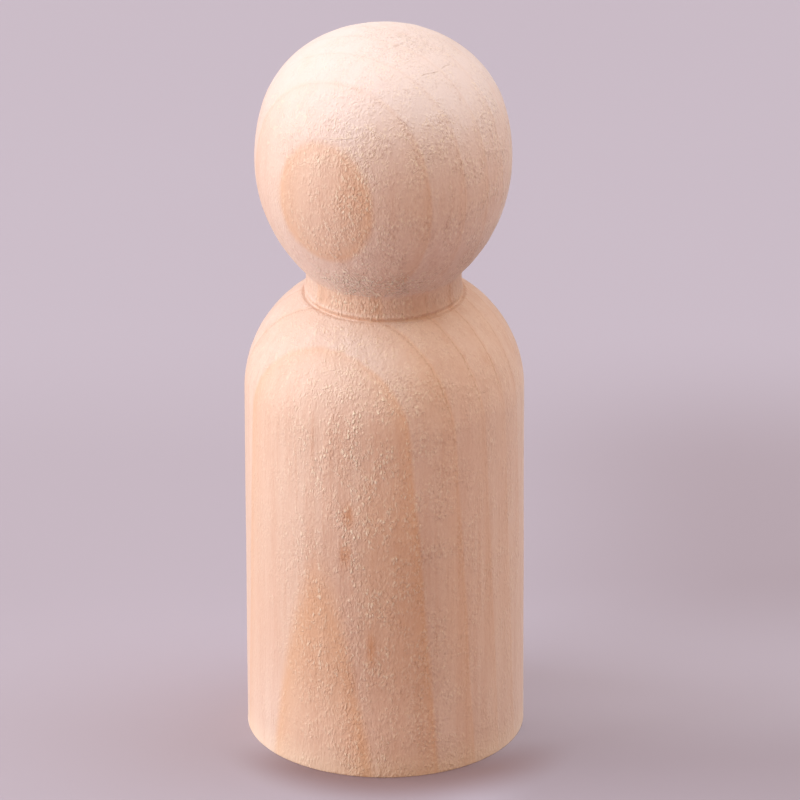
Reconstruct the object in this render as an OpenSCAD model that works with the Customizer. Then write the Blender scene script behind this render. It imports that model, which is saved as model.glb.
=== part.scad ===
// Plain wooden peg doll, turned in one piece from a round rod.
// Millimetres. It stands on z = 0, and the turning axis is +Z.
// The doll is one half outline, spun round the axis. From the base up the outline has a broken edge,
// the straight side, the shoulder arc, a crease, the lip and hollow of the neck, and then the jaw,
// cheek, temple and crown arcs of the head.

/* [Body] */
// Diameter of the straight body
body_d = 24.3; // [18:0.1:40]
// Height of the straight side, from the base to where the shoulder starts to round in
side_h = 32; // [15:0.5:60]
// Radius of the shoulder arc, which leaves the straight side smoothly
shoulder_r = 10.55; // [6:0.05:14]
// Radius of the broken edge round the base
edge_r = 0.3; // [0.1:0.05:2]

/* [Neck] */
// Diameter of the lip round the foot of the neck
neck_d = 13.8; // [9:0.1:16]
// Depth of the hollow between the lip and the head
hollow_depth = 0.25; // [0.1:0.05:1]
// Radius of the gouge that cuts the hollow
hollow_r = 3.2; // [1.5:0.1:6]
// Distance from the head's widest ring down to the neck's narrowest ring
waist_drop = 10.9; // [10:0.1:13]
// Radius of the tool crease where the lip meets the shoulder
crease_r = 0.2; // [0.1:0.05:0.5]

/* [Head] */
// Diameter of the head at its widest ring
head_d = 22.2; // [20:0.1:30]
// Height of the widest ring above the straight side
ring_rise = 21.66; // [20:0.02:30]
// Height of the crown above the widest ring
crown_h = 11.34; // [10:0.02:16]
// Radius of the jaw arc, from the widest ring down to the neck
jaw_r = 14.2; // [12:0.1:20]
// Radius of the temple arc, the main rounding of the upper head
temple_r = 9.3; // [7:0.1:9.8]

/* [Hidden] */
$fn = 160;

body_r = body_d / 2;
neck_r = neck_d / 2;
head_r = head_d / 2;

// Heights of the rings where the outline changes from one curve to the next
ring_z = side_h + ring_rise;
crown_z = ring_z + crown_h;

// Shoulder: its arc ends where it meets the lip, or at its own top if the lip lies further in
shoulder_c = [body_r - shoulder_r, side_h];
lip_offset = max(neck_r - shoulder_c.x, 0);
crease_c = [neck_r, side_h + sqrt(shoulder_r ^ 2 - lip_offset ^ 2)];

// Hollow: the gouge stands outside the neck and reaches in to the narrowest ring
hollow_c = [neck_r - hollow_depth + hollow_r, ring_z - waist_drop];

// Jaw: upright at the widest ring
jaw_c = [head_r - jaw_r, ring_z];

// Upper head: three arcs that run into each other with no corner. The cheek arc is upright at the
// widest ring, and the crown arc is level on the axis. The temple arc joins them, and a 7-24-25
// triangle sets the two directions in which the centres line up, so each centre is a round number.
long_share = 24 / 25;
short_share = 7 / 25;
gap_share = 1 - long_share;
head_spare = head_r - temple_r;
crown_spare = crown_h - temple_r;
solve_share = short_share ^ 2 - gap_share ^ 2;
cheek_gain = (short_share * crown_spare - gap_share * head_spare) / solve_share;
crown_gain = (short_share * head_spare - gap_share * crown_spare) / solve_share;
cheek_r = temple_r + cheek_gain;
crown_r = temple_r + crown_gain;
temple_c = [short_share * crown_gain, ring_z + short_share * cheek_gain];
cheek_c = [head_r - cheek_r, ring_z];
crown_c = [0, crown_z - crown_r];
cheek_end = ring_z + short_share * cheek_r;
temple_end = crown_c.y + long_share * crown_r;

// Width that every part of the half outline stays inside
reach = body_r + head_r;

// Band of the half plane between two heights
module band(low, high, width = reach)
    polygon([[0, low], [width, low], [width, high], [0, high]]);

// Part of the half outline between two heights that lies inside a rounding arc
module arc_band(low, high, centre, radius)
    intersection() {
        band(low, high);
        union() {
            translate(centre) circle(radius);
            if (centre.x > 0) band(low, high, centre.x);
        }
    }

// Straight side on its broken edge, and the shoulder
module body_outline() {
    arc_band(0, edge_r, [body_r - edge_r, edge_r], edge_r);
    band(edge_r, side_h, body_r);
    arc_band(side_h, side_h + shoulder_r, shoulder_c, shoulder_r);
}

// Neck, from inside the shoulder to inside the head
module neck_outline()
    difference() {
        band(side_h, ring_z, neck_r);
        translate(hollow_c) circle(hollow_r);
    }

// Jaw, cheek, temple and crown
module head_outline() {
    arc_band(ring_z - jaw_r, ring_z, jaw_c, jaw_r);
    arc_band(ring_z, cheek_end, cheek_c, cheek_r);
    arc_band(cheek_end, temple_end, temple_c, temple_r);
    arc_band(temple_end, crown_z, crown_c, crown_r);
}

module peg_doll()
    color("burlywood")
        rotate_extrude()
            difference() {
                union() {
                    body_outline();
                    neck_outline();
                    head_outline();
                }
                translate(crease_c) circle(crease_r);
            }

peg_doll();
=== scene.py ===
import math

import bpy
import numpy as np
from mathutils import Matrix, Vector


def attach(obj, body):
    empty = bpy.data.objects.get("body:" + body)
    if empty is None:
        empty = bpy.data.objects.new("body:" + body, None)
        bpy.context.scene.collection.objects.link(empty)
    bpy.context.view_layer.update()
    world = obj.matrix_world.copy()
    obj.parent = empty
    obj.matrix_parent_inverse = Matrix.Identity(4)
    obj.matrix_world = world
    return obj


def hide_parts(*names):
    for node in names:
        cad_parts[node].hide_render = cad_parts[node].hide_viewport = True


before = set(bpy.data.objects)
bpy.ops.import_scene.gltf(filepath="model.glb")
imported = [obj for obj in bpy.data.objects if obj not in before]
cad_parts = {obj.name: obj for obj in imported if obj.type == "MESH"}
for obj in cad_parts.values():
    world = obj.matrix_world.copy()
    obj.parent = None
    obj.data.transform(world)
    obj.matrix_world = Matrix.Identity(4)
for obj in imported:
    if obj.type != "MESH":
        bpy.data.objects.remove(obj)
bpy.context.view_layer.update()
scene = bpy.context.scene
scene.view_settings.view_transform = "Standard"
print("frame loaded:", list(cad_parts))

# Camera: it stands in front of the doll and above it, and looks a little past the turning axis
shot = {
    "imageSize": 800,             # pixels, square
    "sensor": 36.0,               # millimetres
    "lens": 429.8,                # millimetres
    "distance": 0.830,            # metres
    "elevation": 24.455,          # degrees above the horizon
    "roll": 0.186,                # degrees
    "axisHeight": 0.0325,         # point of the axis that shows at axisPixel, metres
    "axisPixel": (384.2, 380.5),
    "clip": (0.05, 20.0),         # nearest and farthest that it sees, metres
}


def placeCamera(s):
    # The camera's three directions come from the elevation and the roll. The aim is the axis point,
    # moved in the picture plane by the pixels between that point and the middle of the picture.
    tilt = math.radians(s["elevation"])
    roll = math.radians(s["roll"])
    back = Vector((0, -math.cos(tilt), math.sin(tilt)))
    levelUp = Vector((0, math.sin(tilt), math.cos(tilt)))
    levelRight = Vector((1, 0, 0))
    right = levelRight * math.cos(roll) - levelUp * math.sin(roll)
    up = levelUp * math.cos(roll) + levelRight * math.sin(roll)
    middle = s["imageSize"] / 2
    metresPerPixel = s["distance"] * s["sensor"] / (s["lens"] * s["imageSize"])
    aim = Vector((0, 0, s["axisHeight"]))
    aim += right * (middle - s["axisPixel"][0]) * metresPerPixel
    aim -= up * (middle - s["axisPixel"][1]) * metresPerPixel
    data = bpy.data.cameras.new("shotCamera")
    data.lens = s["lens"]
    data.sensor_width = s["sensor"]
    data.clip_start, data.clip_end = s["clip"]
    camera = bpy.data.objects.new("shotCamera", data)
    camera.matrix_world = Matrix((right, up, back)).transposed().to_4x4()
    camera.location = aim + back * s["distance"]
    scene.collection.objects.link(camera)
    scene.camera = camera


placeCamera(shot)
print("camera placed")


class Link:
    # A node's output socket. Arithmetic on it adds Math nodes to its tree.
    def __init__(self, tree, socket=None):
        self.tree = tree
        self.socket = socket

    def node(self, kind, settings=None, sockets=None, out=0):
        # a new node: first its settings, then the values or links of its sockets
        made = self.tree.nodes.new(kind)
        for name, value in (settings or {}).items():
            setattr(made, name, value)
        for name, value in (sockets or {}).items():
            if isinstance(value, Link):
                self.tree.links.new(value.socket, made.inputs[name])
            else:
                made.inputs[name].default_value = value
        return Link(self.tree, made.outputs[out] if made.outputs else None)

    def outlets(self, *names):
        # outputs of this output's node, by name
        return [Link(self.tree, self.socket.node.outputs[name]) for name in names]

    def math(self, operation, *terms):
        return self.node("ShaderNodeMath", {"operation": operation}, dict(enumerate(terms)))

    def __add__(self, other):
        return self.math("ADD", self, other)

    def __radd__(self, other):
        return self.math("ADD", other, self)

    def __sub__(self, other):
        return self.math("SUBTRACT", self, other)

    def __rsub__(self, other):
        return self.math("SUBTRACT", other, self)

    def __mul__(self, other):
        return self.math("MULTIPLY", self, other)

    def __rmul__(self, other):
        return self.math("MULTIPLY", other, self)

    def __truediv__(self, other):
        return self.math("DIVIDE", self, other)

    def __rtruediv__(self, other):
        return self.math("DIVIDE", other, self)

    def __pow__(self, other):
        return self.math("POWER", self, other)

    def __rpow__(self, other):
        return self.math("POWER", other, self)

    def __neg__(self):
        return self.math("MULTIPLY", self, -1.0)

    def fade(self, low, high, start=0.0, end=1.0):
        # smooth step from start, at low, to end, at high
        return self.node("ShaderNodeMapRange", {"interpolation_type": "SMOOTHSTEP"}, {
            "Value": self, "From Min": low, "From Max": high, "To Min": start, "To Max": end})

    def between(self, upFrom, upTo, downFrom, downTo):
        # smooth step up to 1, and later down to 0 again
        return self.fade(upFrom, upTo) * self.fade(downFrom, downTo, 1.0, 0.0)

    def blend(self, first, second):
        # colour between two others, with this value as the share of the second
        settings = {"data_type": "RGBA", "clamp_factor": True}
        return self.node("ShaderNodeMix", settings, {0: self, 6: first, 7: second}, out=2)

    def tint(self, other, amount):
        # this colour blended with another by an amount
        return amount.blend(self, other)

    def vector(self, operation, other=(0, 0, 0), out="Vector"):
        return self.node("ShaderNodeVectorMath", {"operation": operation}, {0: self, 1: other}, out)

    def length(self):
        return self.vector("LENGTH", out="Value")

    def parts(self):
        # the three numbers of a vector
        return self.node("ShaderNodeSeparateXYZ", {}, {0: self}).outlets("X", "Y", "Z")

    def spread(self, turns, shift):
        # this place in cells: so many along x, y and z for each unit of length, and shifted
        return self.node("ShaderNodeMapping", {}, {
            "Vector": self, "Location": (shift, -shift, shift), "Scale": turns})

    def noise(self, turns, detail=2.0, rough=0.5, shift=0.0, out=0):
        # cloudy noise on this place
        return self.node("ShaderNodeTexNoise", {}, {
            "Vector": self.spread(turns, shift), "Scale": 1.0, "Detail": detail, "Roughness": rough}, out)

    def flecks(self, turns, reach, core, share, shift):
        # separate flecks: the hearts of random cells, in a share of the cells
        cells = self.node("ShaderNodeTexVoronoi", {}, {"Vector": self.spread(turns, shift), "Scale": 1.0})
        heart, chance = cells.outlets("Distance", "Color")
        return heart.fade(reach * core, reach, 1.0, 0.0) * chance.parts()[0].fade(1 - share, 1 - share / 2)


def newMaterial(name):
    material = bpy.data.materials.new(name)
    material.use_nodes = True
    material.node_tree.nodes.clear()
    return material, Link(material.node_tree)


def srgb(red, green, blue):
    # a colour as a screen shows it, 0 to 255, to the linear values that Blender works in
    share = np.array([red, green, blue]) / 255
    linear = np.where(share <= 0.04045, share / 12.92, ((share + 0.055) / 1.055) ** 2.4)
    return (*linear.tolist(), 1.0)


# Floor and air round the doll. Metres.
studio = {
    "floorReach": 6.0,                       # from the doll to the floor's rim
    "firstRing": 0.01,
    "rings": 24,
    "spokes": 64,
    "floorColour": srgb(179, 172, 186),
    "mottleColour": srgb(175, 167, 181),
    "mottle": {"turns": (9.0, 9.0, 9.0), "detail": 3.0},
    "floorRough": 0.9,
    "floorShine": 0.2,
    "shadeReach": (0.05, 0.14),              # the painted shadows of the belt and the corner die out this far from the doll
    # painted shadow: darker belt behind the doll: where it starts and ends, and how it grows to the right
    "shadowBeltColour": srgb(156, 145, 155),
    "shadowBeltDepth": (0.007, 0.030, 0.051, 0.085),
    "shadowBeltSide": (0.004, 0.034, 0.27, 0.85),
    # painted shadow: darker corner at the doll's front right: where it starts and ends, and how it grows to
    # the right
    "cornerShadowColour": srgb(150, 138, 147),
    "cornerShadowDepth": (-0.004, 0.0105, 0.014, 0.045),
    "cornerShadowSide": (0.006, 0.014, 0.0, 0.6),
    # painted contact shadow: darker rim on the floor under the front of the base
    "contactShadowColour": srgb(132, 103, 99),
    "contactShadowPlace": (0.0012, -0.0018, 0.0),
    "contactShadowReach": (0.0110, 0.0172, 0.75, 0.0),
    "contactShadowFront": (0.004, 0.0115),
    # plain tone that the far floor and the air show
    "backdropColour": srgb(203, 188, 198),
    "backdropReach": (0.2, 0.5),
    "airColour": srgb(255, 216, 174),        # light that the air gives the doll
    "airStrength": 0.575,
    "boxDistance": 1.0,
    "boxSize": 0.8,
}


def seenRay(start):
    # 1 for the rays that show the backdrop: straight from the camera, by a reflection or through glass
    rays = start.node("ShaderNodeLightPath")
    direct, mirrored, through = rays.outlets("Is Camera Ray", "Is Glossy Ray", "Is Transmission Ray")
    return direct + mirrored + through


def paperMaterial(s):
    # pale paper with painted shadows that depend on the place on the floor
    material, start = newMaterial("palePaper")
    place = start.node("ShaderNodeTexCoord", out="Object")
    x, y, _ = place.parts()
    ahead = -y
    away = place.length()
    near = away.fade(*s["shadeReach"], 1.0, 0.0)
    colour = place.noise(**s["mottle"]).blend(s["floorColour"], s["mottleColour"])
    # painted shadow: darker belt on the floor behind the doll
    shadowBelt = y.between(*s["shadowBeltDepth"]) * x.fade(*s["shadowBeltSide"])
    colour = colour.tint(s["shadowBeltColour"], near * shadowBelt)
    # painted shadow: darker patch on the floor at the doll's front right
    cornerShadow = ahead.between(*s["cornerShadowDepth"]) * x.fade(*s["cornerShadowSide"])
    colour = colour.tint(s["cornerShadowColour"], near * cornerShadow)
    # painted contact shadow on the floor round the front of the base
    contactShadow = place.vector("DISTANCE", s["contactShadowPlace"], "Value").fade(*s["contactShadowReach"])
    colour = colour.tint(s["contactShadowColour"], contactShadow * ahead.fade(*s["contactShadowFront"]))
    paper = start.node("ShaderNodeBsdfPrincipled", {}, {
        "Base Color": colour, "Roughness": s["floorRough"], "Specular IOR Level": s["floorShine"]})
    plain = start.node("ShaderNodeEmission", {}, {"Color": s["backdropColour"], "Strength": 1.0})
    far = away.fade(*s["backdropReach"]) * seenRay(start)
    surface = start.node("ShaderNodeMixShader", {}, {0: far, 1: paper, 2: plain})
    start.node("ShaderNodeOutputMaterial", {}, {"Surface": surface})
    return material


def layFloor(s):
    # Disc of rings whose radius grows by the same factor: point = radius * (cos angle, sin angle, 0)
    angle = np.linspace(0, 2 * np.pi, s["spokes"], endpoint=False)
    radius = np.concatenate([[0.0], np.geomspace(s["firstRing"], s["floorReach"], s["rings"])])
    level = np.zeros((len(radius), len(angle)))
    points = np.stack([np.outer(radius, np.cos(angle)), np.outer(radius, np.sin(angle)), level], -1)
    row, column = np.meshgrid(np.arange(len(radius) - 1), np.arange(len(angle)), indexing="ij")
    nextColumn = (column + 1) % len(angle)
    inner = row * len(angle)
    outer = inner + len(angle)
    faces = np.stack([inner + column, outer + column, outer + nextColumn, inner + nextColumn], -1)
    mesh = bpy.data.meshes.new("studioFloor")
    mesh.from_pydata(points.reshape(-1, 3).tolist(), [], faces.reshape(-1, 4).tolist())
    mesh.validate()
    mesh.materials.append(paperMaterial(s))
    floor = bpy.data.objects.new("studioFloor", mesh)
    scene.collection.objects.link(floor)


def fillAir(s):
    world = bpy.data.worlds.new("studioAir")
    world.use_nodes = True
    world.node_tree.nodes.clear()
    start = Link(world.node_tree)
    light = start.node("ShaderNodeBackground", {}, {"Color": s["airColour"], "Strength": s["airStrength"]})
    plain = start.node("ShaderNodeBackground", {}, {"Color": s["backdropColour"], "Strength": 1.0})
    air = start.node("ShaderNodeMixShader", {}, {0: seenRay(start), 1: light, 2: plain})
    start.node("ShaderNodeOutputWorld", {}, {"Surface": air})
    scene.world = world


# Soft boxes: degrees round from the front and above the floor, watts and colour
softBoxes = {
    "leftBox": {"azimuth": 274, "elevation": 14, "power": 11.9, "colour": (0.85, 0.93, 1.0)},
    "topBox": {"azimuth": 290, "elevation": 70, "power": 2.75, "colour": (0.88, 0.89, 1.0)},
    "backBox": {"azimuth": 115, "elevation": 68, "power": 5.2, "colour": (0.76, 0.88, 1.0)},
    "rightBox": {"azimuth": 95, "elevation": 40, "power": 1.85, "colour": (0.8, 0.94, 1.0)},
}


def hangSoftBox(name, b, s):
    # towards = direction from the doll to the box, from the two angles
    azimuth = math.radians(b["azimuth"])
    elevation = math.radians(b["elevation"])
    level = math.cos(elevation)
    towards = Vector((math.sin(azimuth) * level, -math.cos(azimuth) * level, math.sin(elevation)))
    data = bpy.data.lights.new(name, "AREA")
    data.shape = "SQUARE"
    data.size = s["boxSize"]
    data.energy = b["power"]
    data.color = b["colour"]
    lamp = bpy.data.objects.new(name, data)
    lamp.rotation_mode = "QUATERNION"
    lamp.rotation_quaternion = towards.to_track_quat("Z", "Y")
    lamp.location = Vector((0, 0, shot["axisHeight"])) + towards * s["boxDistance"]
    scene.collection.objects.link(lamp)


layFloor(studio)
fillAir(studio)
for boxName, box in softBoxes.items():
    hangSoftBox(boxName, box, studio)
print("floor, air and soft boxes made")

# The doll: half outline of the turning, spun round the axis. Metres.
turning = {
    "bodyWidth": 0.0243,
    "sideHeight": 0.0320,
    "shoulderRadius": 0.01055,
    "edgeRadius": 0.00005,
    "neckWidth": 0.0138,
    "hollowDepth": 0.00025,
    "hollowRadius": 0.0032,
    "waistDrop": 0.0109,
    "creaseRadius": 0.0002,
    "headWidth": 0.0222,
    "ringRise": 0.02166,
    "crownHeight": 0.01134,
    "jawRadius": 0.0142,
    "templeRadius": 0.0093,
    "arcSteps": 600,
    "lineSteps": 300,
    "outlineSteps": 9000,
    "columns": 384,
    "rows": 250,
    # rows lie closer together where the outline bends: bend per metre, cut off and blurred
    "bendScale": 300,
    "bendMost": 30000,
    "bendBlur": 0.00008,
}


def arc(centre, radius, start, end):
    # point = centre + radius * (cos angle, sin angle)
    angle = np.linspace(start, end, turning["arcSteps"])
    return np.stack([centre[0] + radius * np.cos(angle), centre[1] + radius * np.sin(angle)], -1)[:-1]


def straight(start, end):
    # point = start + share of the way to the end
    share = np.linspace(0, 1, turning["lineSteps"])[:, None]
    return (np.array(start) * (1 - share) + np.array(end) * share)[:-1]


def angleOf(vector):
    return math.atan2(vector[1], vector[0])


def halfOutline(t):
    bodyR = t["bodyWidth"] / 2
    neckR = t["neckWidth"] / 2
    headR = t["headWidth"] / 2
    edgeR = t["edgeRadius"]
    shoulderR = t["shoulderRadius"]
    creaseR = t["creaseRadius"]
    hollowR = t["hollowRadius"]
    jawR = t["jawRadius"]
    templeR = t["templeRadius"]
    fullTurn = 2 * math.pi
    ringZ = t["sideHeight"] + t["ringRise"]
    crownZ = ringZ + t["crownHeight"]
    shoulder = np.array([bodyR - shoulderR, t["sideHeight"]])
    crease = np.array([neckR, shoulder[1] + math.sqrt(shoulderR ** 2 - (neckR - shoulder[0]) ** 2)])
    # the shoulder stops one crease radius short of the crease's centre
    shoulderEnd = angleOf(crease - shoulder) - 2 * math.asin(creaseR / 2 / shoulderR)
    shoulderTop = shoulder + shoulderR * np.array([math.cos(shoulderEnd), math.sin(shoulderEnd)])
    hollow = np.array([neckR - t["hollowDepth"] + hollowR, ringZ - t["waistDrop"]])
    lipTop = np.array([neckR, hollow[1] - math.sqrt(hollowR ** 2 - (hollow[0] - neckR) ** 2)])
    # the hollow runs into the jaw where their two circles cross
    jaw = np.array([headR - jawR, ringZ])
    apart = np.hypot(*(hollow - jaw))
    ahead = (hollow - jaw) / apart
    along = (jawR ** 2 - hollowR ** 2 + apart ** 2) / (2 * apart)
    aside = math.sqrt(jawR ** 2 - along ** 2)
    chin = jaw + along * ahead + aside * np.array([ahead[1], -ahead[0]])
    # cheek, temple and crown arcs line up along the sides of a 7-24-25 triangle
    longShare = 24 / 25
    shortShare = 7 / 25
    gapShare = 1 - longShare
    headSpare = headR - templeR
    crownSpare = t["crownHeight"] - templeR
    divide = shortShare ** 2 - gapShare ** 2
    cheekGain = (shortShare * crownSpare - gapShare * headSpare) / divide
    crownGain = (shortShare * headSpare - gapShare * crownSpare) / divide
    cheekR = templeR + cheekGain
    crownR = templeR + crownGain
    temple = (shortShare * crownGain, ringZ + shortShare * cheekGain)
    low = math.atan2(shortShare, longShare)
    high = math.atan2(longShare, shortShare)
    return np.concatenate([
        straight((0, 0), (bodyR - edgeR, 0)),
        arc((bodyR - edgeR, edgeR), edgeR, -fullTurn / 4, 0),
        straight((bodyR, edgeR), (bodyR, shoulder[1])),
        arc(shoulder, shoulderR, 0, shoulderEnd),
        arc(crease, creaseR, angleOf(shoulderTop - crease), -fullTurn * 3 / 4),
        straight(crease + (0, creaseR), lipTop),
        arc(hollow, hollowR, angleOf(lipTop - hollow) % fullTurn, angleOf(chin - hollow) % fullTurn),
        arc(jaw, jawR, angleOf(chin - jaw), 0),
        arc((headR - cheekR, ringZ), cheekR, 0, low),
        arc(temple, templeR, low, high),
        arc((0, crownZ - crownR), crownR, high, fullTurn / 4),
        [(0.0, crownZ)],
    ])


# Hand finish of the turned surface. Metres.
finish = {
    "sanding": 0.00005,           # how far every corner of the outline is rubbed round
    "neckSanding": 0.00042,       # the same where the head runs into the neck
    "neckReach": 0.0011,
    "creaseSanding": 0.00014,     # and where the neck runs into the shoulder
    "creaseDrop": 0.0003,         # from the bead down to the middle of that rubbing
    "creaseReach": 0.0005,
    "neckFill": 0.85,             # share of the hollow that the sanding takes out
    "wallShare": 0.6,             # depth of the wall that is left, as a share of the hollow's
    "neckLow": 0.04155,
    "neckHigh": 0.0431,
    "neckFade": 0.0002,
    "beadHeight": 0.04145,        # thin bead at the foot of the neck
    "beadRise": 0.00004,
    "beadReach": 0.00016,
    # relief: its height, and the waves that it is the sum of
    "unevenness": 0.000013,
    "unevenWaves": {"seed": 3, "lengths": (0.005, 0.014), "squeeze": 0.6, "count": 40},
    "grainRelief": 0.000006,
    "grainWaves": {"seed": 5, "lengths": (0.0009, 0.0022), "squeeze": 0.08, "count": 60},
    "turningRelief": 0.0000025,
    "turningWaves": {"seed": 9, "lengths": (0.0007, 0.0011), "squeeze": 1.0, "count": 40},
    "crownRelief": 0.000035,
    "crownWaves": {"seed": 11, "lengths": (0.0008, 0.0019), "squeeze": 1.0, "count": 60},
    "crownReach": 0.0035,
}


def smoothed(values, sigma, spacing):
    # moving average under a bell curve, with the ends carried on as they are
    reach = int(4 * sigma / spacing) + 1
    bell = np.exp(-0.5 * (np.arange(-reach, reach + 1) * spacing / sigma) ** 2)
    padded = np.pad(values, reach, mode="reflect", reflect_type="odd")
    return np.convolve(padded, bell / bell.sum(), mode="valid")


def hump(values, middle, reach):
    # bell curve, 1 at the middle
    return np.exp(-((values - middle) / reach) ** 2)


def climb(values, middle, reach):
    # smooth step from 0 to 1
    return (1 + np.tanh((values - middle) / reach)) / 2


def waves(points, seed, lengths, squeeze, count):
    # sum of cosines with random directions, lengths and starts; squeeze below 1 draws them out along z
    rng = np.random.default_rng(seed)
    heading = rng.normal(size=(count, 3))
    heading /= np.linalg.norm(heading, axis=1, keepdims=True)
    heading[:, 2] *= squeeze
    turns = 2 * np.pi / rng.uniform(*lengths, size=(count, 1))
    start = rng.uniform(0, 2 * np.pi, size=count)
    return np.cos(points @ (heading * turns).T + start).sum(-1) / math.sqrt(count / 2)


def sandedOutline(t, f):
    # the outline at even steps, rubbed round at its corners, with the hollow filled and a bead at its foot
    corners = halfOutline(t)
    length = np.concatenate([[0.0], np.cumsum(np.hypot(*np.diff(corners, axis=0).T))])
    even = np.linspace(0, length[-1], t["outlineSteps"])
    line = np.stack([np.interp(even, length, corners[:, i]) for i in (0, 1)], -1)
    radius, height = line.T
    neckR = t["neckWidth"] / 2
    upper = height > t["sideHeight"]
    inHollow = climb(height, f["neckLow"], f["neckFade"])
    inHollow *= 1 - climb(height, f["neckHigh"], f["neckFade"])
    bead = f["beadRise"] * hump(height, f["beadHeight"], f["beadReach"])
    onNeck = upper & (radius < neckR + t["creaseRadius"] / 2)
    wall = neckR - f["wallShare"] * t["hollowDepth"]
    line[:, 0] += onNeck * (inHollow * f["neckFill"] * (wall - radius) + bead)
    # each corner has its own width of rubbing, and the base's edge stays crisp
    nearNeck = hump(height, f["neckHigh"], f["neckReach"]) * upper * (height > f["neckLow"])
    nearCrease = hump(height, f["beadHeight"] - f["creaseDrop"], f["creaseReach"]) * upper
    made = line * ~upper[:, None]
    weights = {
        "neckSanding": nearNeck,
        "creaseSanding": (1 - nearNeck) * nearCrease,
        "sanding": (1 - nearNeck) * (1 - nearCrease) * upper,
    }
    for name, weight in weights.items():
        rubbed = np.stack([smoothed(line[:, i], f[name], even[1]) for i in (0, 1)], -1)
        made += weight[:, None] * rubbed
    made[0] = line[0]
    made[-1] = line[-1]
    along = np.gradient(made, even, axis=0)
    along /= np.linalg.norm(along, axis=1, keepdims=True)
    return even, made, along


def onDoll(outline, place, angle):
    # point = radius * outward + height * upward, and the normal is square to the outline there
    even, line, along = outline
    radius, height = (np.interp(place, even, values)[:, None] for values in line.T)
    goesOut, goesUp = (np.interp(place, even, values)[:, None] for values in along.T)
    outward = np.stack([np.cos(angle), np.sin(angle), 0 * angle], -1)
    upward = np.array([0, 0, 1])
    return radius * outward + height * upward, goesUp * outward - goesOut * upward


def reliefAt(points, place, t, f):
    # height along the normal: hand-sanded unevenness, raised grain, tool rings and the rough crown
    relief = f["unevenness"] * waves(points, **f["unevenWaves"])
    relief += f["grainRelief"] * waves(points, **f["grainWaves"])
    relief += f["turningRelief"] * waves(np.outer(place, (0, 0, 1)), **f["turningWaves"])
    fromAxis = np.hypot(points[:, 0], points[:, 1])
    onCrown = hump(fromAxis, 0, f["crownReach"]) * (points[:, 2] > t["sideHeight"])
    relief += f["crownRelief"] * onCrown * waves(points, **f["crownWaves"])
    return relief * np.clip(points[:, 2] / t["edgeRadius"] - 1, 0, 1)  # the base stays flat


def spinDoll(t, f):
    outline = sandedOutline(t, f)
    even, line, along = outline
    rows = t["rows"]
    columns = t["columns"]
    bend = np.abs(np.gradient(np.unwrap(np.arctan2(along[:, 1], along[:, 0])), even))
    bend = smoothed(np.minimum(bend, t["bendMost"]), t["bendBlur"], even[1])
    share = np.cumsum(1 + bend / t["bendScale"])
    rowPlace = np.interp(np.linspace(share[0], share[-1], rows + 2), share, even)[1:-1]
    angle = np.linspace(0, 2 * np.pi, columns, endpoint=False) + np.pi / 2  # the seam is at the back
    place = np.repeat(rowPlace, columns)
    points, normal = onDoll(outline, place, np.tile(angle, rows))
    points += normal * reliefAt(points, place, t, f)[:, None]
    points = np.concatenate([points, [(0, 0, 0), (0, 0, line[-1, 1])]])
    # quads between the rows, and a fan of triangles at each pole
    row, column = np.meshgrid(np.arange(rows - 1), np.arange(columns), indexing="ij")
    nextColumn = (column + 1) % columns
    lower = row * columns
    upper = lower + columns
    quads = np.stack([lower + column, lower + nextColumn, upper + nextColumn, upper + column], -1)
    spoke = np.arange(columns)
    nextSpoke = (spoke + 1) % columns
    last = (rows - 1) * columns
    base = np.full(columns, rows * columns)
    crown = base + 1
    under = np.stack([nextSpoke, spoke, base], -1)
    over = np.stack([last + spoke, last + nextSpoke, crown], -1)
    faces = quads.reshape(-1, 4).tolist() + under.tolist() + over.tolist()
    mesh = bpy.data.meshes.new("turnedDoll")
    mesh.from_pydata(points.tolist(), [], faces)
    mesh.polygons.foreach_set("use_smooth", np.ones(len(mesh.polygons), dtype=bool))
    # map of the unrolled surface: across is the share of a turn, up is the share of the outline
    up = rowPlace / even[-1]

    def quadCorner(step, rise):
        return np.stack([(column + step) / columns, up[row + rise]], -1)

    def fanCorner(step, height):
        return np.stack([(spoke + step) / columns, np.full(columns, height)], -1)

    quadMap = np.stack([quadCorner(0, 0), quadCorner(1, 0), quadCorner(1, 1), quadCorner(0, 1)], 2)
    underMap = np.stack([fanCorner(1, up[0]), fanCorner(0, up[0]), fanCorner(1 / 2, 0)], 1)
    overMap = np.stack([fanCorner(0, up[-1]), fanCorner(1, up[-1]), fanCorner(1 / 2, 1)], 1)
    unrolled = mesh.uv_layers.new(name="OFBake")
    unrolled.data.foreach_set("uv", np.concatenate([m.reshape(-1) for m in (quadMap, underMap, overMap)]))
    made = bpy.data.objects.new("turnedDoll", mesh)
    scene.collection.objects.link(made)
    return made


doll = spinDoll(turning, finish)
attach(doll, "root")
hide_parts("peg_doll")
print("doll spun:", len(doll.data.vertices), "points")

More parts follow.
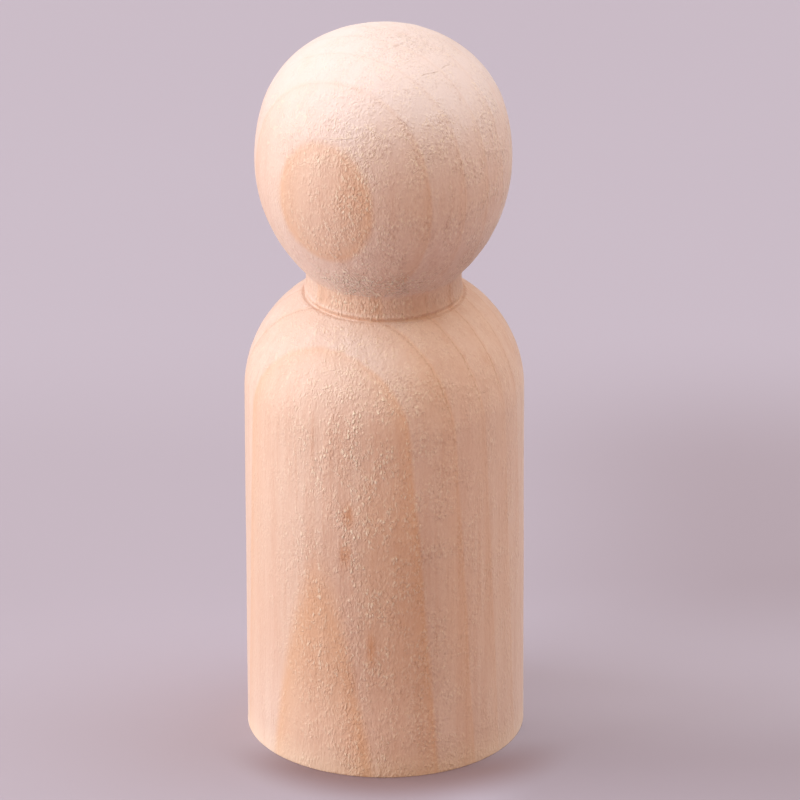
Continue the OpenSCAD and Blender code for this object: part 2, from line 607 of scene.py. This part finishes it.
# Bare wood, in millimetres. A fade is given as from, to, and then the values there if not 0 and 1.
wood = {
    "millimetres": (1000, 1000, 1000),      # in a metre
    # tones
    "pale": srgb(231, 197, 175),
    "fibre": srgb(213, 163, 134),
    "rosy": srgb(229, 189, 167),
    "chalkAndPaintedLight": srgb(233, 214, 208),
    "amber": srgb(229, 175, 132),
    "stainTone": srgb(209, 144, 96),
    "nibAndGlintTone": srgb(255, 233, 206),
    "poreAndShadeTone": srgb(165, 111, 77),
    # growth rings: nearly flat sheets, whose places are start + scale * exp(rate * number)
    "growth": (-0.4926, -0.886),            # level direction across the rings, towards the pith
    "ringLevel": 20.2,                      # height at which the places are given
    "ringLean": 0.0587,                     # how the rings move with height
    "ringBow": 0.000195,
    "ringCurve": 0.00671,                   # how they curve round the pith
    "ringStart": -24.93,
    "ringScale": 23.63,
    "ringRate": 0.114,
    "ringLag": 0.06,                        # share of a ring that the dark edge comes late
    "ringWander": 0.35,                     # how far the rings leave their sheets, in long waves
    "wander": {"turns": (0.06, 0.06, 0.02)},
    "ringFray": 0.3,                        # and in short ones
    "fray": {"turns": (1.3, 1.3, 0.09), "detail": 3.0, "shift": 7.0},
    "frayCalm": (9.0, 11.5, 1.0, 0.4),
    "lateBroad": (1.7, 0.5),                # dark past each ring: power and depth, broad and narrow
    "lateNarrow": (9.0, 0.3),
    "lateEdge": (0.9, 1.0, 0.0, 0.8),
    "lateInner": (2.5, 8.4, 0.4, 1.0),
    "lateOuter": (10.2, 11.2, 1.0, 1.05),
    "ringLineWidth": (0.92, 0.98),          # thin dark line along the rings away from the front
    "ringLineSide": (6.0, 7.5, 1.0, 0.0),
    "ringLineBreak": (0.35, 0.6, 0.2, 1.0),
    "ringLineHeight": (30.0, 36.0, 0.3, 1.0),
    "ringLineHead": 0.7,                    # share that the head loses
    # fibres run up the doll, so they show as streaks on the side and as dots on the crown
    "band": {"turns": (0.75, 0.75, 0.03), "rough": 0.6, "shift": 3.0},
    "bandFade": (0.42, 0.68, 0.0, 0.3),
    "streak": {"turns": (2.2, 2.2, 0.09), "detail": 3.0, "rough": 0.6, "shift": 5.0},
    "streakFade": (0.45, 0.75, 0.0, 0.32),
    "fine": {"turns": (7.0, 7.0, 0.9), "rough": 0.6, "shift": 11.0},
    "fineFade": (0.45, 0.75, 0.0, 0.2),
    "cloud": {"turns": (0.16, 0.16, 0.05), "shift": 31.0},
    "cloudFade": (0.4, 0.7, 0.0, 0.5),
    # parts of the doll, by height and by side
    "head": (42.4, 44.4),
    "front": (-6.0, 0.0, 1.0, 0.0),
    "neck": (40.6, 41.0, 42.6, 43.4),
    "chinHeight": (42.9, 44.0, 45.4, 47.5),
    "chinLeft": (-6.0, -3.0),
    "chinRight": (1.0, 5.0, 1.0, 0.2),
    "shoulder": (34.0, 36.5, 40.0, 41.0),
    "brow": (55.0, 57.0, 60.0, 62.0),
    # rough end grain on the crown, where the doll was parted off: arcs round the axis, and blotches
    "partedSpot": (2.0, -1.2, 64.4),
    "partedReach": (6.0, 4.5, 3.0),
    "arcOut": 3.2,                          # turns for each millimetre out from the axis
    "arcRound": 1.6,                        # and for each radian round it
    "arcNoise": {"turns": (1.0, 1.0, 1.0), "detail": 3.0, "rough": 0.65},
    "arcFade": (0.47, 0.36),
    "blotch": {"turns": (1.1, 1.1, 1.1), "detail": 3.0, "rough": 0.65, "shift": 53.0},
    "blotchFade": (0.5, 0.66),
    "blotchLift": (0.6, 0.9),
    # fuzz that the sanding raised: pale nibs and dark pits in patches, mostly on the front; the pale nibs
    # are also painted glints, gathered where the left light grazes
    "crook": {"turns": (2.2, 2.2, 2.2)},
    "crookReach": (0.45, 0.45, 0.6),
    "patch": {"turns": (0.5, 0.5, 0.35), "detail": 3.0, "rough": 0.6, "shift": 17.0},
    "patchFade": (0.36, 0.62, 0.25, 1.0),
    "patchLeft": (-11.0, -2.0, 0.35, 1.0),
    "patchRight": (3.0, 9.0, 0.0, 0.4),
    "patchLift": (0.25, 0.8, 1.0, 0.6),
    "glintTuftLeft": (-10.0, -6.0, 0.4, 1.0),
    "glintTuftRight": (-1.0, 6.0, 1.0, 0.25),
    "glintTuftHeight": (6.0, 16.0, 0.6, 1.0),
    "glintTuftLift": (0.15, 0.6, 1.0, 0.5),
    "glintTuftHead": 0.3,                        # share that the head loses
    "glintTuftChin": 1.1,                        # what the chin gains
    "nibTipAndGlint": {"turns": (3.9, 3.9, 1.7), "reach": 0.5, "core": 0.4, "share": 0.66, "shift": 23.0},
    "smallNibAndGlint": {"turns": (5.6, 5.6, 2.4), "reach": 0.55, "core": 0.4, "share": 0.7, "shift": 25.0},
    "nibPit": {"turns": (4.2, 4.2, 2.3), "reach": 0.5, "core": 0.4, "share": 0.6, "shift": 29.0},
    "nib": {"turns": (5.0, 5.0, 3.2), "detail": 1.0, "rough": 0.55, "shift": 23.0},
    "nibCrown": 0.4,
    "nibNeck": 0.5,
    # soft pale and dark grain where the light is flat
    "mottle": {"turns": (4.6, 4.6, 2.4), "detail": 1.0, "rough": 0.6, "shift": 61.0},
    "mottleSide": (-6.0, 4.0, 0.4, 1.0),
    "mottleCrown": 0.3,
    "mottleBody": 0.6,                      # the head has the whole of it
    "mottlePale": (0.52, 0.75, 0.0, 0.4),
    "mottleDark": (0.48, 0.25, 0.0, 0.35),
    # short curled fibres: broken level lines of a cloudy noise, thickest under the chin
    "curl": {"turns": (0.7, 0.7, 0.7), "detail": 1.0, "shift": 37.0},
    "curlLines": 9.0,                       # lines from the lowest to the highest of that noise, about
    "curlFold": 0.5,
    "curlFade": (0.25, 0.45),
    "curlBreak": {"turns": (1.9, 1.9, 1.9), "detail": 1.0, "shift": 43.0},
    "curlBreakFade": (0.46, 0.56),
    "curlShoulder": 0.25,
    "curlBrow": 0.3,
    "curlSide": (2.0, 8.0, 1.0, 0.3),
    # coarse torn grain under the chin
    "torn": {"turns": (3.4, 3.4, 2.6), "rough": 0.6, "shift": 47.0},
    "tearFade": (0.5, 0.36),
    "tearNeck": 0.4,
    # chalky bloom on what faces up, and painted top light: crown and shoulders paler where the top lamps
    # fall
    "bloomAndTopLightLift": (-0.1, 0.75),
    "bloomAndTopLightBody": 0.65,                      # the head has the whole of it
    "bloomAndTopLightShadedRight": (-2.0, 5.0, 0.0, 0.9),    # share that the body loses to the right, as painted shade
    "bloomAndTopLight": {"turns": (0.5, 0.5, 0.5), "detail": 3.0, "shift": 41.0},
    "bloomAndTopLightLeast": 0.7,
    "bloomAndTopLightSwing": 0.6,
    "chalkAndTopLightSide": (-9.0, -2.0, 0.65, 0.9),
    "chalkHead": 0.14,
    # painted bounce light: the wood paler towards the foot, as if lit from the floor
    "paintedFootBounce": (0.0, 14.0, 0.22, 0.0),
    "footEdge": (0.0, 3.0, 0.3, 0.0),       # paler edge round the base
    # painted shade, darker on the right of the chin and the neck and on the right of the shoulder, and
    # warmer wood low on the front
    "shadeNeckLow": (40.8, 41.4),
    "shadeNeckHigh": (46.0, 50.0, 1.0, 0.0),
    "shadeNeckSide": (-3.0, 3.5, 0.0, 0.19),
    "warmFoot": (4.0, 10.0, 20.0, 27.0),
    "warmFootLeft": (-9.5, -4.0, 0.5, 1.0),
    "warmFootRight": (3.0, 7.0, 0.17, 0.0),
    "shadeShoulderLow": (33.0, 36.0),
    "shadeShoulderHigh": (40.5, 41.2, 0.12, 0.0),
    "shadeShoulderSide": (2.0, 5.0),
    # amber strip up the middle of the front
    "stripLeft": (-3.2, -1.2),
    "stripRight": (0.5, 4.5, 0.24, 0.0),
    "stripHeight": (24.0, 32.0, 1.0, 0.0),
    # stains: middle and half sizes
    "stains": (
        ((-3.1, -11.7, 25.0), (0.9, 2.0, 1.9)),
        ((-3.4, -11.6, 21.2), (0.7, 1.5, 1.9)),
        ((-1.2, -12.1, 12.3), (0.6, 1.5, 2.6)),
        ((4.5, 11.3, 24.0), (0.3, 1.5, 2.6)),
        ((-10.6, 5.9, 15.0), (1.5, 0.3, 2.2)),
    ),
    "stainLeast": 0.1,
    "stainStreak": 0.9,
    "heartSpot": (-2.9, -10.6, 54.6),       # darker heart of the oval on the head
    "heartReach": (2.4, 3.0, 4.2),
    "heartDepth": 0.2,
    "spotEdge": (0.1, 1.0, 1.0, 0.0),       # soft edge of every spot, in shares of its half sizes
    # scratches: their two ends
    "paleScratches": (
        ((-4.59, -9.04, 59.01), (-2.72, -9.59, 59.42)),
        ((-5.23, -8.68, 38.19), (-3.34, -8.67, 39.21)),
        ((-5.41, -9.82, 36.35), (-3.94, -10.21, 36.90)),
    ),
    "darkScratches": (
        ((-0.41, -6.47, 63.35), (0.95, -6.26, 63.44)),
        ((3.07, -5.58, 63.43), (4.35, -4.56, 63.46)),
        ((4.35, -4.56, 63.46), (5.64, -2.80, 63.47)),
        ((1.28, -9.0, 60.91), (2.12, -9.35, 60.13)),
    ),
    "scratchWidth": 0.09,
    "scratchCore": 0.4,
    "scratchBend": {"turns": (0.45, 0.45, 0.45)},
    # how much of each mark shows in its tone
    "amberDepth": 0.8,
    "amberUnderBloomAndTopLight": 0.7,
    "paleDepths": {"nibTipAndGlint": 0.95, "smallNibAndGlint": 0.4, "paleMark": 0.35, "curl": 0.85},
    "darkDepths": {"nibPit": 0.2, "darkMark": 0.25, "arcMark": 0.14, "tear": 0.19, "blotch": 0.08,
                   "ringLine": 0.26},
    # how far each mark stands out or lies in, as a share of the bump's height in metres
    "bumpHeight": 0.001,
    "reliefs": {"nibTipAndGlint": 0.06, "smallNibAndGlint": 0.02, "nibPit": -0.02, "nib": 0.12, "torn": 0.27, "curl": 0.07,
                "fine": 0.02, "streak": 0.015, "paleMark": 0.03, "darkMark": -0.03, "arcMark": -0.03},
    "roughLeast": 0.52,
    "roughFine": 0.15,
    "shine": 0.5,
    "sheen": {"Sheen Weight": 0.4, "Sheen Roughness": 0.4, "Sheen Tint": (1.0, 0.97, 0.94, 1.0)},
}


def spot(place, middle, reach, edge):
    # 1 inside an ellipsoid, 0 outside it
    return place.vector("SUBTRACT", middle).vector("DIVIDE", reach).length().fade(*edge)


def stroke(place, start, end, width, core):
    # 1 on the straight line between two points, 0 beyond its width
    start = Vector(start)
    line = Vector(end) - start
    offset = place.vector("SUBTRACT", start)
    along = offset.vector("DOT_PRODUCT", line / line.length_squared, "Value")
    along = along.math("MINIMUM", along.math("MAXIMUM", along, 0.0), 1.0)
    foot = along.node("ShaderNodeCombineXYZ", {}, {0: along * line.x, 1: along * line.y, 2: along * line.z})
    return offset.vector("DISTANCE", foot, "Value").fade(width * core, width, 1.0, 0.0)


def weighed(marks, depths):
    # sum of marks, each times its depth
    return sum(marks[name] * depth for name, depth in depths.items())


def growthRings(place, w):
    # place across the rings, how far before the next ring it is, and how dark the wood is there:
    # number = ln((across - start) / scale) / rate, and each whole number is a ring
    x, y, z = place.parts()
    wander = (place.noise(**w["wander"]) - 0.5) * w["ringWander"]
    fray = (place.noise(**w["fray"]) - 0.5) * w["ringFray"]
    aside = x * -w["growth"][1] + y * w["growth"][0]
    rise = z - w["ringLevel"]
    across = x * w["growth"][0] + y * w["growth"][1] - rise * w["ringLean"] + rise * rise * w["ringBow"]
    across = across - aside * aside * w["ringCurve"] + wander
    across = across + fray * across.fade(*w["frayCalm"])
    grown = (across - w["ringStart"]) / w["ringScale"]
    number = grown.math("LOGARITHM", grown, math.e) / w["ringRate"] - w["ringLag"]
    phase = number.math("FRACT", number)
    before = 1 - phase
    late = phase.fade(*w["lateEdge"])
    for power, depth in (w["lateBroad"], w["lateNarrow"]):
        late = late + before ** power * depth
    late = late * across.fade(*w["lateInner"]) * across.fade(*w["lateOuter"])
    return across, before, late


def scratchMarks(place, ends, w):
    # sum of strokes on a place that is bent a little; the noise swings round a half
    half = (0.5, 0.5, 0.5)
    bent = place.vector("ADD", place.noise(**w["scratchBend"], out="Color")).vector("SUBTRACT", half)
    return sum(stroke(bent, first, second, w["scratchWidth"], w["scratchCore"]) for first, second in ends)


def woodMarks(place, lift, w):
    # every mark on the wood by name, each from 0 to about 1; lift is how far the surface faces up
    x, y, z = place.parts()
    across, before, late = growthRings(place, w)
    onHead = z.fade(*w["head"])
    onBody = 1 - onHead
    front = y.fade(*w["front"])
    neck = z.between(*w["neck"])
    chin = z.between(*w["chinHeight"]) * x.fade(*w["chinLeft"]) * x.fade(*w["chinRight"])
    streak = place.noise(**w["streak"])
    fine = place.noise(**w["fine"])

    # crown: polar = (out from the axis, round it, 0)
    out = place.vector("MULTIPLY", (1, 1, 0)).length()
    polar = out.node("ShaderNodeCombineXYZ", {}, {
        0: out * w["arcOut"], 1: out.math("ARCTAN2", y, x) * w["arcRound"]})
    parted = spot(place, w["partedSpot"], w["partedReach"], w["spotEdge"]) * onHead
    arcMark = polar.noise(**w["arcNoise"]).fade(*w["arcFade"]) * parted
    blotch = place.noise(**w["blotch"]).fade(*w["blotchFade"]) * parted * lift.fade(*w["blotchLift"])

    # fuzz
    crooked = place.noise(**w["crook"], out="Color").vector("MULTIPLY", w["crookReach"])
    crooked = place.vector("ADD", crooked)
    patch = place.noise(**w["patch"]).fade(*w["patchFade"]) * x.fade(*w["patchLeft"])
    patch = patch * (1 - x.fade(*w["patchRight"]) * onBody) * lift.fade(*w["patchLift"])
    # painted glints: pale nibs gathered where the light grazes the front, and under the chin
    glintTuft = patch * x.fade(*w["glintTuftLeft"]) * x.fade(*w["glintTuftRight"]) * z.fade(*w["glintTuftHeight"])
    glintTuft = glintTuft * lift.fade(*w["glintTuftLift"]) * (1 - onHead * w["glintTuftHead"]) + chin * w["glintTuftChin"]
    fuzzy = patch + parted * w["nibCrown"] + neck * w["nibNeck"]

    # soft grain, whole on the head and less on the body
    flat = patch * x.fade(*w["mottleSide"]) + parted * w["mottleCrown"]
    flat = flat * (onHead * (1 - w["mottleBody"]) + w["mottleBody"])
    mottle = place.noise(**w["mottle"])

    # curled fibres and torn grain
    lines = place.noise(**w["curl"]) * w["curlLines"]
    curl = lines.math("PINGPONG", lines, w["curlFold"]).fade(*w["curlFade"])
    curl = curl * place.noise(**w["curlBreak"]).fade(*w["curlBreakFade"])
    curly = chin + z.between(*w["shoulder"]) * w["curlShoulder"] + z.between(*w["brow"]) * w["curlBrow"]
    torn = place.noise(**w["torn"])

    # chalky bloom and painted top light, whole on the head and less on the body; less again on the body's
    # right, as painted shade
    bloomAndTopLight = lift.fade(*w["bloomAndTopLightLift"]) * (onHead * (1 - w["bloomAndTopLightBody"]) + w["bloomAndTopLightBody"])
    bloomAndTopLight = bloomAndTopLight * (1 - onBody * x.fade(*w["bloomAndTopLightShadedRight"]))
    bloomAndTopLight = bloomAndTopLight * (place.noise(**w["bloomAndTopLight"]) * w["bloomAndTopLightSwing"] + w["bloomAndTopLightLeast"])

    # painted shade on the right of the chin, the neck and the shoulder, and warmer wood low on the front
    warmWoodAndShade = z.fade(*w["shadeNeckLow"]) * z.fade(*w["shadeNeckHigh"]) * x.fade(*w["shadeNeckSide"])
    lowFront = z.between(*w["warmFoot"]) * front
    warmWoodAndShade = warmWoodAndShade + lowFront * x.fade(*w["warmFootLeft"]) * x.fade(*w["warmFootRight"])
    shoulderTop = z.fade(*w["shadeShoulderLow"]) * z.fade(*w["shadeShoulderHigh"])
    warmWoodAndShade = warmWoodAndShade + shoulderTop * x.fade(*w["shadeShoulderSide"])

    # line along the rings, broken up by the grain
    ringLine = before.fade(*w["ringLineWidth"]) * across.fade(*w["ringLineSide"])
    ringLine = ringLine * fine.fade(*w["ringLineBreak"]) * z.fade(*w["ringLineHeight"])

    stain = sum(spot(place, middle, reach, w["spotEdge"]) for middle, reach in w["stains"])
    heart = spot(place, w["heartSpot"], w["heartReach"], w["spotEdge"])
    grain = place.noise(**w["band"]).fade(*w["bandFade"]) + streak.fade(*w["streakFade"])
    return {
        "grain": grain + fine.fade(*w["fineFade"]),
        "cloud": place.noise(**w["cloud"]).fade(*w["cloudFade"]),
        # pale chalk with painted top light on what faces up, and painted bounce light at the foot
        "chalkAndPaintedLight": bloomAndTopLight * x.fade(*w["chalkAndTopLightSide"]) + onHead * w["chalkHead"] + z.fade(*w["paintedFootBounce"]),
        "strip": x.fade(*w["stripLeft"]) * x.fade(*w["stripRight"]) * z.fade(*w["stripHeight"]) * front,
        "amber": late * (1 - bloomAndTopLight * w["amberUnderBloomAndTopLight"]) * w["amberDepth"],
        "stain": stain * (streak * w["stainStreak"] + w["stainLeast"]) + heart * w["heartDepth"],
        "mottlePale": mottle.fade(*w["mottlePale"]) * flat,
        "mottleDark": mottle.fade(*w["mottleDark"]) * flat,
        "nibTipAndGlint": crooked.flecks(**w["nibTipAndGlint"]) * glintTuft,
        "smallNibAndGlint": crooked.flecks(**w["smallNibAndGlint"]) * patch,
        "nibPit": crooked.flecks(**w["nibPit"]) * patch,
        "nib": place.noise(**w["nib"]) * fuzzy,
        "curl": curl * curly * x.fade(*w["curlSide"]),
        "torn": torn * chin,
        "tear": torn.fade(*w["tearFade"]) * (chin + neck * w["tearNeck"]),
        "paleMark": scratchMarks(place, w["paleScratches"], w),
        "darkMark": scratchMarks(place, w["darkScratches"], w),
        "ringLine": ringLine * (1 - onHead * w["ringLineHead"]),
        "footEdge": z.fade(*w["footEdge"]),
        "arcMark": arcMark,
        "blotch": blotch,
        "warmWoodAndShade": warmWoodAndShade,
        "streak": streak,
        "fine": fine,
    }


def woodMaterial(w):
    material, start = newMaterial("turnedWood")
    place = start.node("ShaderNodeTexCoord", out="Object").vector("MULTIPLY", w["millimetres"])
    lift = start.node("ShaderNodeTexCoord", out="Normal").parts()[2]
    marks = woodMarks(place, lift, w)
    colour = marks["grain"].blend(w["pale"], w["fibre"])
    colour = colour.tint(w["rosy"], marks["cloud"])
    # paler tone for the chalky bloom, the painted top light and the painted bounce light at the foot
    colour = colour.tint(w["chalkAndPaintedLight"], marks["chalkAndPaintedLight"])
    colour = colour.tint(w["amber"], marks["amber"] + marks["strip"])
    colour = colour.tint(w["stainTone"], marks["stain"])
    # pale nibs with painted glints, curled fibres and pale scratches
    colour = colour.tint(w["nibAndGlintTone"], weighed(marks, w["paleDepths"]) + marks["mottlePale"])
    # dark marks, and painted shade on the right of the chin, the neck and the shoulder
    colour = colour.tint(w["poreAndShadeTone"], weighed(marks, w["darkDepths"]) + marks["mottleDark"] + marks["warmWoodAndShade"])
    colour = colour.tint(w["nibAndGlintTone"], marks["footEdge"])
    bump = start.node("ShaderNodeBump", {}, {
        "Strength": 1.0, "Distance": w["bumpHeight"], "Height": weighed(marks, w["reliefs"])})
    rough = marks["fine"] * w["roughFine"] + w["roughLeast"]
    surface = start.node("ShaderNodeBsdfPrincipled", {}, {
        "Base Color": colour, "Roughness": rough, "Normal": bump,
        "Specular IOR Level": w["shine"], **w["sheen"]})
    start.node("ShaderNodeOutputMaterial", {}, {"Surface": surface})
    return material


doll.data.materials.append(woodMaterial(wood))
print("wood made")
